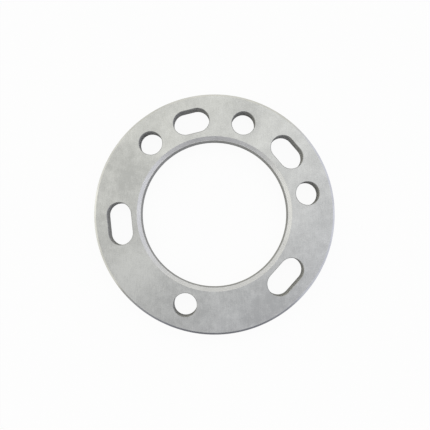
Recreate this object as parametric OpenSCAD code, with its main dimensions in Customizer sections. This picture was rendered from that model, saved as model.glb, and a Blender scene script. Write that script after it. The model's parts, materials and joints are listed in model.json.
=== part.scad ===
// Wheel spacer: a flat aluminium ring that is clamped between a hub and a wheel.
// One set of openings on a single pitch circle takes either five or six wheel studs.
// The origin is on the bore axis at the back face, and +Z points out of the front face.

/* [Plate] */
// Outside diameter of the ring
outer_d = 176.2; // [174:0.1:190]
// Thickness from the back face to the front face
plate_t = 12.7; // [8:0.1:25.4]
// Width of the bevel along the front outer edge, across the face
outer_bevel_w = 1.4; // [0.4:0.1:2]
// Depth of the bevel along the front outer edge, down the rim
outer_bevel_h = 0.8; // [0.3:0.1:2]
// Width and depth of the bevel along the two edges of the back face
back_bevel = 0.5; // [0.2:0.1:1]

/* [Centre bore] */
// Diameter of the straight wall that clears the hub
bore_d = 108; // [100:0.1:110]
// Width and depth of the lead-in bevel where the bore meets the front face
lead_in = 2.8; // [0.5:0.1:4]

/* [Stud openings] */
// Diameter of the pitch circle that all the openings share
pitch_d = 139.7; // [139:0.1:143]
// Diameter of the round stud holes
hole_d = 17.1; // [12:0.1:18]
// Width of the stud slots
slot_w = 17.5; // [12:0.1:18]
// Length, end to end, of the slots that join a five-stud place and a six-stud place
long_slot_l = 31.1; // [26:0.1:33]
// Length, end to end, of the slots that hold a five-stud place alone
short_slot_l = 26.8; // [22:0.1:28]
// Angle of the middle of a short slot, from the +Y axis
short_slot_angle = 31.9; // [30:0.1:34]
// Width and depth of the bevel along the edges of every stud opening
hole_bevel = 0.3; // [0.1:0.1:0.6]

/* [Hidden] */
$fn = 180;

// How far a cutter reaches past each face
overcut = 1;

outer_r = outer_d / 2;
bore_r = bore_d / 2;
pitch_r = pitch_d / 2;

// Angles between neighbouring studs of the two patterns, which share the stud on the -Y axis
five_step = 360 / 5;
six_step = 360 / 6;

// Round holes take the six-stud places that no slot takes
round_angles = [0, six_step, 180, -six_step];
// A long slot lies on the chord from the first five-stud place on from the shared stud to the
// first six-stud place, so its middle is a little inside the pitch circle
long_slot_angle = 180 - (five_step + six_step) / 2;
long_slot_r = pitch_r * cos((five_step - six_step) / 2);

// Section of the ring, to be turned about the bore axis
module ring_section() {
    polygon([
        [bore_r + back_bevel, 0],
        [outer_r - back_bevel, 0],
        [outer_r, back_bevel],
        [outer_r, plate_t - outer_bevel_h],
        [outer_r - outer_bevel_w, plate_t],
        [bore_r + lead_in, plate_t],
        [bore_r, plate_t - lead_in],
        [bore_r, back_bevel]
    ]);
}

// Half of an opening's section: a straight wall with a bevel that runs out through each face
module half_section(radius) {
    mouth = radius + hole_bevel + overcut;
    polygon([
        [0, -overcut],
        [mouth, -overcut],
        [radius, hole_bevel],
        [radius, plate_t - hole_bevel],
        [mouth, plate_t + overcut],
        [0, plate_t + overcut]
    ]);
}

// Cutter for a round hole
module round_cutter(diameter) {
    rotate_extrude() half_section(diameter / 2);
}

// Cutter for a slot along X: two round ends and the straight run between their centres
module slot_cutter(width, length) {
    run = length - width;
    for (side = [-1, 1]) {
        translate([side * run / 2, 0, 0]) round_cutter(width);
    }
    for (side = [0, 1]) {
        mirror([0, side, 0])
            translate([-run / 2, 0, 0])
                rotate([90, 0, 90])
                    linear_extrude(run) half_section(width / 2);
    }
}

// Puts a cutter at a radius, an angle round from the +Y axis, with X along the circle
module around_bore(angle, radius) {
    rotate([0, 0, angle]) translate([0, radius, 0]) children();
}

module spacer_plate() {
    color([0.76, 0.76, 0.74])
        difference() {
            rotate_extrude() ring_section();
            for (angle = round_angles) {
                around_bore(angle, pitch_r) round_cutter(hole_d);
            }
            for (side = [-1, 1]) {
                around_bore(side * long_slot_angle, long_slot_r) slot_cutter(slot_w, long_slot_l);
                around_bore(side * short_slot_angle, pitch_r) slot_cutter(slot_w, short_slot_l);
            }
        }
}

spacer_plate();
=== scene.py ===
import json
import math

import bpy
from mathutils import Euler, Matrix, Vector
from mathutils.geometry import delaunay_2d_cdt


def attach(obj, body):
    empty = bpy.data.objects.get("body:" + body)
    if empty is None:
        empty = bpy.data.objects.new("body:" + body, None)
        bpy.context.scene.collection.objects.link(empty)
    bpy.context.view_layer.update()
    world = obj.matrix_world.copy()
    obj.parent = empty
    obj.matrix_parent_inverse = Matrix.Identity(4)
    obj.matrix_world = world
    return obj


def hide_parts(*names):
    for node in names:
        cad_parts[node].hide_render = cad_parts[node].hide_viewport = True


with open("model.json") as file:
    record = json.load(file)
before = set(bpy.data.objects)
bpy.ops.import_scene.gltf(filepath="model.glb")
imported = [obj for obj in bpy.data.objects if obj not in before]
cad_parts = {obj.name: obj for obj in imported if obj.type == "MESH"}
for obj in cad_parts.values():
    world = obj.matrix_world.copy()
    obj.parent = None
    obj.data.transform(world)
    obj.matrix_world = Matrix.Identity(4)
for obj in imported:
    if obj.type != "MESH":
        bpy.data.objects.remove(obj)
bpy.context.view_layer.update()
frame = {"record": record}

MM = 0.001

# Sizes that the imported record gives
MOUNTS = {mount["name"]: mount for mount in frame["record"]["mounts"]}
OUTER_R = frame["record"]["size"]["bbox_m"][0] / 2
PLATE_T = frame["record"]["size"]["bbox_m"][2]
BORE_R = MOUNTS["centre_bore"]["dims"]["r_mm"] * MM

# Bevels of the ring's edges: width across the face, and depth down the wall
OUTER_BEVEL = Vector((1.4, 0.8)) * MM
LEAD_IN = Vector((2.8, 2.8)) * MM
BACK_BEVEL = Vector((0.5, 0.5)) * MM
HOLE_BEVEL = Vector((0.3, 0.3)) * MM

# Rounding where a bevel meets a face or a wall. The lead-in runs into the bore more softly.
EDGE_ROUND = 0.22 * MM
HOLE_EDGE_ROUND = 0.14 * MM
LEAD_IN_ROUND = 1.6 * MM
EDGE_STEPS = 3

# How far beyond a bevel its section runs along the face, in radii of the rounding
FACE_RUN = 4

# A wall's finish goes on over its front rounding until the normals there point up by this share; in the bore
# and the holes that spreads the walls' painted shade onto the rounding.
# Where they point down by less than LEVEL, they count as level.
WALL_LEAN = 0.55
LEVEL = 1e-4

# Points round each outline
RIM_STEPS = 480
BORE_STEPS = 384
HOLE_STEPS = 96

# How the flat faces are filled: inside the rim, with points that count as apart from this many mm on
FILL_INSIDE = 1
FILL_TOLERANCE = 1e-7

# Finishes, in the order of the piece's material slots
FACE, BEVEL, BORE_WALL, HOLE_WALL, HOLE_EDGE, RIM, RIM_BEVEL = range(7)

# The camera, in its own axes, from the middle of the front face. Its focal length is in picture widths.
CAMERA_FROM_FACE = Vector((0.41, -1.17, 398.4)) * MM
CAMERA_TILT = Euler([math.radians(a) for a in (-2.4, -0.05, -17.78)])
FOCAL_PER_WIDTH = 545.0 / 430
SENSOR_WIDTH = 36.0
CLIP_START = 0.01

# Marks on the flat faces, as noise: size, detail, roughness, distortion
CLOUDS = (26 * MM, 4, 0.55, 0.5)
MOTTLE = (5.4 * MM, 3, 0.6, 0.3)
GRAIN = (1.0, 2, 0.5, 0.0)
SPECKS = (0.7 * MM, 2, 0.6, 0.0)

# Where the clouds start from, and the size of the grain, which runs up the photograph
CLOUD_FROM = Vector((386, 180, 0)) * MM
GRAIN_SIZE = Vector((0.9, 6.0, 6.0)) * MM

# What clouds, mottle, grain and specks add to the face's tone, roughness and height
FACE_TONE_WEIGHTS = (1.15, 1.2, 0.65, 1.5)
FACE_ROUGHNESS_WEIGHTS = (-0.12, 0.1, 0.1, 0.0)
FACE_HEIGHT_WEIGHTS = (0.0, 1.0, 0.25, 0.35)

# The face's darkest and lightest tone, its roughness, and the depth of its marks
FACE_DARK = (0.495, 0.5, 0.503, 1)
FACE_LIGHT = (0.693, 0.699, 0.7, 1)
FACE_ROUGHNESS = 0.42
FACE_DEPTH = 0.03 * MM

# Stained and rubbed patches of the front face: angle round from photo right, radius, half size, tone
PATCHES = (
    (157, 70, (10, 19), -0.32),
    (216, 72, (24, 16), 0.36),
    (298, 78, (14, 30), -0.24),
)

# How deep a patch goes in mm, where it fades out in half sizes, and how much the mottle frays it
PATCH_DEPTH = 4.0
PATCH_FADE = (0.1, 1.4)
PATCH_FRAY = 1.2

# Marks on turned and drilled surfaces, as noise: size, detail, roughness, distortion
RINGS = (0.3 * MM, 2, 0.6, 0.0)
TURNED_CLOUDS = (12 * MM, 3, 0.5, 0.0)

# What clouds and rings add to the tone and roughness there, the spread of the tone, and the rings' depth
TURNED_TONE_WEIGHTS = (1.0, 0.3)
TURNED_ROUGHNESS_WEIGHTS = (0.12, 0.1)
TURNED_SPREAD = (0.84, 1.16)
TURNED_DEPTH = 0.01 * MM

# Turned and drilled finishes, in the order of the slots after the face: name, tone, roughness and the
# share that reflects as metal, where 0 is matte. The walls' and hole edges' low tones are painted shade.
TURNED_FINISHES_AND_PAINTED_SHADE = (
    ("turned_bevel", (0.7, 0.7, 0.7), 0.38, 1.0),
    # The bore and hole walls' low tone is painted shade of the hollows, not a darker metal.
    ("bored_wall_painted_shade", (0.385, 0.385, 0.377), 0.6, 0.0),
    ("drilled_wall_painted_shade", (0.395, 0.395, 0.385), 0.75, 0.0),
    # The hole edges' low tone is painted shade that widens the dark walls of the holes.
    ("broken_edge_painted_shade", (0.4, 0.4, 0.395), 0.4, 1.0),
    ("turned_rim", (0.62, 0.62, 0.61), 0.36, 1.0),
    ("turned_rim_bevel", (0.64, 0.64, 0.64), 0.18, 1.0),
)

# The shader's usual specular level, which a matte surface goes without
SPECULAR_LEVEL = 0.5

# How bright the light is from each direction, from -1 before the part, low in the photograph, to 1 behind it
LIGHT_STOPS = (
    (-1.0, 0.14),
    (-0.9, 0.26),
    (-0.6, 0.5),
    (-0.25, 0.55),
    (0.0, 0.72),
    (0.25, 0.98),
    (0.6, 1.0),
    (0.85, 0.84),
    (1.0, 1.05),
)
LIGHT_PEAK = max(level for _, level in LIGHT_STOPS)

# The light's tints, and how far to each side of the middle the one turns into the other
COOL = (0.885, 0.90, 1.0, 1)
WARM = (1.0, 0.995, 0.907, 1)
TINT_SPREAD = 0.22

# Area lamps: name, place as photo right, photo up and height, size, radiance, tint
SOFTBOXES = (
    ("key", (0.1, 0.22, 1.0), 0.7, 0.36, WARM),
    ("left", (-1.0, -0.18, 0.5), 1.0, 0.42, WARM),
    ("right", (0.95, -0.34, 0.58), 1.05, 0.36, COOL),
)

# The floor and its rise into a backdrop
FLOOR_R = 1.4
BACKDROP_R = 2.6
BACKDROP_H = 0.5
FLOOR_STEPS = 96
RISE_STEPS = 12

# The floor's tone where light falls on it, and the share of it that shows as plain white
FLOOR_TONE = (0.9, 0.9, 0.9, 1)
WHITE = (1, 1, 1, 1)
FLOOR_WHITE_SHARE = 0.94


def camera_axes():
    """Right, up and back of the photograph's camera, as the columns of a matrix in the part's frame."""
    turns = [Matrix.Rotation(angle, 3, axis) for angle, axis in zip(CAMERA_TILT, "XYZ")]
    return (turns[0] @ turns[1] @ turns[2]).transposed()


AXES = camera_axes()
PHOTO_RIGHT = AXES.col[0].copy()
PHOTO_UP = AXES.col[1].copy()
GRAIN_TURN = math.atan2(PHOTO_RIGHT.y, PHOTO_RIGHT.x)


def add_object(name, data):
    """A new object in the scene for a mesh, a lamp or a camera."""
    thing = bpy.data.objects.new(name, data)
    bpy.context.scene.collection.objects.link(thing)
    return thing


def make_camera():
    data = bpy.data.cameras.new("photo_camera")
    data.sensor_width = SENSOR_WIDTH
    data.lens = FOCAL_PER_WIDTH * SENSOR_WIDTH
    data.clip_start = CLIP_START
    camera = add_object("photo_camera", data)
    place = AXES @ CAMERA_FROM_FACE + Vector((0, 0, PLATE_T))
    camera.matrix_world = Matrix.Translation(place) @ AXES.to_4x4()
    bpy.context.scene.camera = camera


# The ring's mesh

def circle(radius, steps):
    """An outline as (centre, outward direction) pairs, with its radius."""
    turns = [math.tau * i / steps for i in range(steps)]
    return [(Vector((0, 0)), Vector((math.cos(a), math.sin(a)))) for a in turns], radius


def stud_opening(mount):
    """The outline of a round hole, or of a slot that runs square to the radius."""
    dims = mount["dims"]
    centre = Vector(mount["pos_m"]).xy
    across = centre.normalized()
    along = Vector((across.y, -across.x))
    radius = dims.get("r_mm", dims.get("hole_r_mm")) * MM
    run = dims.get("slot_length_mm", 2 * radius / MM) / 2 * MM - radius
    half = HOLE_STEPS // 2
    # A slot's round ends each have a last point of their own, where the straight run starts
    last = half + 1 if run > 0 else half
    points = []
    for end in (1, -1):
        for i in range(last):
            a = math.pi * (i / half - 0.5)
            out = end * (along * math.cos(a) + across * math.sin(a))
            points.append((centre + end * run * along, out))
    return points, radius


def rounded(corners, radii):
    """Points and normals along a line through corners, with an arc at each one between the two ends."""
    line = []
    for before, corner, after, radius in zip(corners, corners[1:], corners[2:], radii):
        d0 = (corner - before).normalized()
        d1 = (after - corner).normalized()
        n0 = Vector((-d0.y, d0.x))
        n1 = Vector((-d1.y, d1.x))
        turn = n0.angle(n1)
        centre = corner - d0 * radius * math.tan(turn / 2) - n0 * radius
        for i in range(EDGE_STEPS + 1):
            t = i / EDGE_STEPS
            n = (n0 * math.sin((1 - t) * turn) + n1 * math.sin(t * turn)) / math.sin(turn)
            line.append((centre + n * radius, n))
    return line


def edge_profile(back, front, radius, front_radius):
    """A wall's section from the back face to the front face, as depth into the metal and height.

    front_radius is the rounding between the wall and the front bevel, and radius is any other.
    """
    far = max(back.x, front.x) + FACE_RUN * radius
    corners = [
        (far, 0),
        (back.x, 0),
        (0, back.y),
        (0, PLATE_T - front.y),
        (front.x, PLATE_T),
        (far, PLATE_T),
    ]
    return rounded([Vector(c) for c in corners], (radius, radius, front_radius, radius))


class Ring:
    """Collects the vertices, normals, faces and finishes of the ring."""

    def __init__(self):
        self.points = []
        self.normals = []
        self.faces = []
        self.finishes = []
        self.mouths = {"back": [], "front": []}

    def add_wall(self, outline, profile, wall_finish, bevel_finish, outward):
        """Sweeps a section round an outline. outward is 1 for the rim and -1 for an opening."""
        places, radius = outline
        count = len(places)
        first = len(self.points)
        for (depth, z), (n_depth, n_z) in profile:
            for centre, out in places:
                self.points.append((*(centre + out * (radius - outward * depth)), z))
                self.normals.append((*(-outward * n_depth * out), n_z))
        for k in range(len(profile) - 1):
            # For the bore and the holes, the wall finish is painted shade, and so is a hole's edge finish.
            lean = (profile[k][1].y + profile[k + 1][1].y) / 2
            finish = wall_finish if -LEVEL < lean < WALL_LEAN else bevel_finish
            row = first + k * count
            for i in range(count):
                a = row + i
                b = row + (i + 1) % count
                quad = (a, b, b + count, a + count)
                self.faces.append(quad if outward > 0 else quad[::-1])
                self.finishes.append(finish)
        last = first + (len(profile) - 1) * count
        self.mouths["back"].append(range(first, first + count))
        self.mouths["front"].append(range(last, last + count))

    def add_face(self, side):
        """Fills the flat face between the rim, which comes first, and the openings."""
        loops = self.mouths[side]
        ids = [i for loop in loops for i in loop]
        owner = [k for k, loop in enumerate(loops) for _ in loop]
        edges = []
        for loop in loops:
            start = len(edges)
            edges += [(start + i, start + (i + 1) % len(loop)) for i in range(len(loop))]
        flat = [Vector(self.points[i][:2]) / MM for i in ids]
        triangles = delaunay_2d_cdt(flat, edges, [], FILL_INSIDE, FILL_TOLERANCE)[2]
        for triangle in triangles:
            owners = {owner[i] for i in triangle}
            # A triangle with all its corners on one opening lies in that opening
            if len(owners) == 1 and owners != {0}:
                continue
            face = [ids[i] for i in triangle]
            self.faces.append(face if side == "front" else face[::-1])
            self.finishes.append(FACE)

    def to_object(self, name, materials):
        mesh = bpy.data.meshes.new(name)
        mesh.from_pydata(self.points, [], self.faces)
        mesh.polygons.foreach_set("material_index", self.finishes)
        mesh.shade_smooth()
        mesh.normals_split_custom_set_from_vertices(self.normals)
        for material in materials:
            mesh.materials.append(material)
        return add_object(name, mesh)


def make_ring(materials):
    ring = Ring()
    rim = edge_profile(BACK_BEVEL, OUTER_BEVEL, EDGE_ROUND, EDGE_ROUND)
    ring.add_wall(circle(OUTER_R, RIM_STEPS), rim, RIM, RIM_BEVEL, 1)
    bore = edge_profile(BACK_BEVEL, LEAD_IN, EDGE_ROUND, LEAD_IN_ROUND)
    ring.add_wall(circle(BORE_R, BORE_STEPS), bore, BORE_WALL, BEVEL, -1)
    hole = edge_profile(HOLE_BEVEL, HOLE_BEVEL, HOLE_EDGE_ROUND, HOLE_EDGE_ROUND)
    for name, mount in MOUNTS.items():
        if name.startswith("stud_hole") or "slot" in name:
            ring.add_wall(stud_opening(mount), hole, HOLE_WALL, HOLE_EDGE, -1)
    ring.add_face("back")
    ring.add_face("front")
    return ring.to_object("spacer_ring", materials)


# Node trees

class Graph:
    """The node tree of a material or of the world, with short calls to add and join nodes."""

    def __init__(self, owner, output):
        owner.use_nodes = True
        self.owner = owner
        self.tree = owner.node_tree
        self.tree.nodes.clear()
        self.output = self.add(output)

    def add(self, kind, inputs=None, **settings):
        node = self.tree.nodes.new("ShaderNode" + kind)
        for key, value in settings.items():
            setattr(node, key, value)
        for key, value in (inputs or {}).items():
            if isinstance(value, bpy.types.NodeSocket):
                self.tree.links.new(value, node.inputs[key])
            else:
                node.inputs[key].default_value = value
        return node

    def finish(self, shader):
        self.tree.links.new(shader.outputs[0], self.output.inputs["Surface"])
        return self.owner

    def position(self, centre=(0, 0, 0), turn=0.0, size=(1, 1, 1)):
        """The place on the part from a centre, turned about the bore axis and measured in a size."""
        place = self.add("TexCoord").outputs["Object"]
        inputs = {"Vector": place, "Location": centre, "Rotation": (0, 0, turn), "Scale": size}
        return self.add("Mapping", inputs, vector_type="TEXTURE").outputs[0]

    def noise(self, vector, size, detail, roughness, distortion):
        inputs = {
            "Vector": vector,
            "Scale": 1 / size,
            "Detail": detail,
            "Roughness": roughness,
            "Distortion": distortion,
        }
        return self.add("TexNoise", inputs).outputs[0]

    def remap(self, value, low, high, to_low, to_high, smooth=False):
        inputs = {0: value, 1: low, 2: high, 3: to_low, 4: to_high}
        kind = "SMOOTHSTEP" if smooth else "LINEAR"
        return self.add("MapRange", inputs, interpolation_type=kind).outputs[0]

    def math(self, operation, a, b=0.0):
        return self.add("Math", {0: a, 1: b}, operation=operation).outputs[0]

    def vector(self, operation, a, b=(0, 0, 0), output="Vector"):
        return self.add("VectorMath", {0: a, 1: b}, operation=operation).outputs[output]

    def sum(self, start, values, weights):
        """A number, plus what each value has over a half times its weight."""
        total = start
        for value, weight in zip(values, weights):
            if weight:
                over = self.math("SUBTRACT", value, 0.5)
                total = self.math("ADD", self.math("MULTIPLY", over, weight), total)
        return total

    def mix(self, factor, a, b):
        return self.add("Mix", {0: factor, 6: a, 7: b}, data_type="RGBA").outputs[2]


def new_material(name):
    return Graph(bpy.data.materials.new(name), "OutputMaterial")


def metal(g, color, roughness, height, depth, metallic=1.0):
    """Bare metal. metallic is the share that reflects as metal, and the rest is matte."""
    bump = g.add("Bump", {"Height": height, "Distance": depth, "Strength": 1.0})
    inputs = {
        "Base Color": color,
        "Roughness": roughness,
        "Metallic": metallic,
        "Specular IOR Level": SPECULAR_LEVEL * metallic,
        "Normal": bump.outputs[0],
    }
    return g.finish(g.add("BsdfPrincipled", inputs))


# Finishes

def face_finish():
    """Flat faces, ground and then tumbled: cloudy, mottled and faintly grained, with a few broad patches."""
    g = new_material("tumbled_face")
    place = g.position()
    clouds = g.noise(g.position(CLOUD_FROM), *CLOUDS)
    mottle = g.noise(place, *MOTTLE)
    specks = g.noise(place, *SPECKS)
    grain = g.noise(g.position(turn=GRAIN_TURN, size=GRAIN_SIZE), *GRAIN)
    marks = (clouds, mottle, grain, specks)
    tone = g.sum(0.5, marks, FACE_TONE_WEIGHTS)
    for angle, radius, size, weight in PATCHES:
        turn = math.radians(angle) + GRAIN_TURN
        centre = Vector((math.cos(turn) * radius * MM, math.sin(turn) * radius * MM, PLATE_T))
        from_patch = g.position(centre, turn, Vector((*size, PATCH_DEPTH)) * MM)
        far = g.vector("LENGTH", from_patch, output="Value")
        patch = g.remap(g.sum(far, [mottle], [PATCH_FRAY]), *PATCH_FADE, 1, 0, smooth=True)
        tone = g.math("ADD", tone, g.math("MULTIPLY", patch, weight))
    rough = g.sum(FACE_ROUGHNESS, marks, FACE_ROUGHNESS_WEIGHTS)
    height = g.sum(0.5, marks, FACE_HEIGHT_WEIGHTS)
    return metal(g, g.mix(tone, FACE_DARK, FACE_LIGHT), rough, height, FACE_DEPTH)


def turned_finish(name, tone, roughness, metallic):
    """Turned and drilled surfaces: fine rings, one above the other, under soft clouds. For the walls and
    hole edges, the tone passed in is painted shade.
    """
    g = new_material(name)
    place = g.position()
    rings = g.noise(g.vector("MULTIPLY", place, (0, 0, 1)), *RINGS)
    clouds = g.noise(place, *TURNED_CLOUDS)
    marks = (clouds, rings)
    dark, light = [tuple(share * c for c in tone) + (1,) for share in TURNED_SPREAD]
    color = g.mix(g.sum(0.5, marks, TURNED_TONE_WEIGHTS), dark, light)
    rough = g.sum(roughness, marks, TURNED_ROUGHNESS_WEIGHTS)
    return metal(g, color, rough, rings, TURNED_DEPTH, metallic)


def floor_finish():
    """White to the camera and in reflections, with a share of plain lit white that keeps the shadow."""
    g = new_material("white_floor")
    path = g.add("LightPath")
    seen = g.math("MAXIMUM", path.outputs["Is Camera Ray"], path.outputs["Is Glossy Ray"])
    seen = g.math("MAXIMUM", seen, path.outputs["Is Transmission Ray"])
    glow = g.add("Emission", {"Color": WHITE, "Strength": 1.0})
    lit = g.add("BsdfDiffuse", {"Color": FLOOR_TONE})
    share = g.math("MULTIPLY", seen, FLOOR_WHITE_SHARE)
    return g.finish(g.add("MixShader", {0: share, 1: lit.outputs[0], 2: glow.outputs[0]}))


# Stage

def make_floor():
    """A round floor whose outer part rises into a low backdrop."""
    profile = [(FLOOR_R, 0.0)]
    for k in range(1, RISE_STEPS + 1):
        t = k / RISE_STEPS
        profile.append((FLOOR_R + (BACKDROP_R - FLOOR_R) * t, BACKDROP_H * t * t))
    turns = [math.tau * i / FLOOR_STEPS for i in range(FLOOR_STEPS)]
    points = [(r * math.cos(a), r * math.sin(a), z) for r, z in profile for a in turns]
    faces = [tuple(range(FLOOR_STEPS))]
    for k in range(RISE_STEPS):
        row = k * FLOOR_STEPS
        for i in range(FLOOR_STEPS):
            a = row + i
            b = row + (i + 1) % FLOOR_STEPS
            faces.append((a, a + FLOOR_STEPS, b + FLOOR_STEPS, b))
    mesh = bpy.data.meshes.new("floor")
    mesh.from_pydata(points, [], faces)
    mesh.shade_smooth()
    mesh.materials.append(floor_finish())
    floor = add_object("floor", mesh)


def make_softbox(name, place, size, radiance, tint):
    """A square area lamp that faces the part, placed by photograph right, photograph up and height."""
    data = bpy.data.lights.new(name, "AREA")
    data.shape = "SQUARE"
    data.size = size
    data.color = tint[:3]
    data.energy = radiance * math.pi * size * size
    lamp = add_object(name, data)
    right, up, height = place
    lamp.location = PHOTO_RIGHT * right + PHOTO_UP * up + Vector((0, 0, height))
    lamp.rotation_euler = (-lamp.location).to_track_quat("-Z", "Y").to_euler()


def make_world():
    """A soft tent of light, bright behind and beside the part and dim before it, with a slight tint."""
    g = Graph(bpy.data.worlds.new("studio"), "OutputWorld")
    direction = g.add("TexCoord").outputs["Generated"]
    along = g.vector("DOT_PRODUCT", direction, PHOTO_UP, "Value")
    ramp = g.add("ValToRGB", {0: g.remap(along, -1, 1, 0, 1)})
    ramp.color_ramp.interpolation = "LINEAR"
    stops = ramp.color_ramp.elements
    while len(stops) < len(LIGHT_STOPS):
        stops.new(0.5)
    for stop, (place, level) in zip(stops, LIGHT_STOPS):
        grey = level / LIGHT_PEAK
        stop.position = (place + 1) / 2
        stop.color = (grey, grey, grey, 1)
    sideways = g.vector("DOT_PRODUCT", direction, (PHOTO_UP - PHOTO_RIGHT).normalized(), "Value")
    tint = g.mix(g.remap(sideways, -TINT_SPREAD, TINT_SPREAD, 0, 1, smooth=True), COOL, WARM)
    strength = g.math("MULTIPLY", ramp.outputs[0], LIGHT_PEAK)
    bpy.context.scene.world = g.finish(g.add("Background", {"Color": tint, "Strength": strength}))


make_camera()
make_floor()
make_world()
for softbox in SOFTBOXES:
    make_softbox(*softbox)
ring = make_ring([face_finish()] + [turned_finish(*finish) for finish in TURNED_FINISHES_AND_PAINTED_SHADE])
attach(ring, "root")
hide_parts("spacer_plate")

bpy.context.scene.view_settings.view_transform = "Standard"
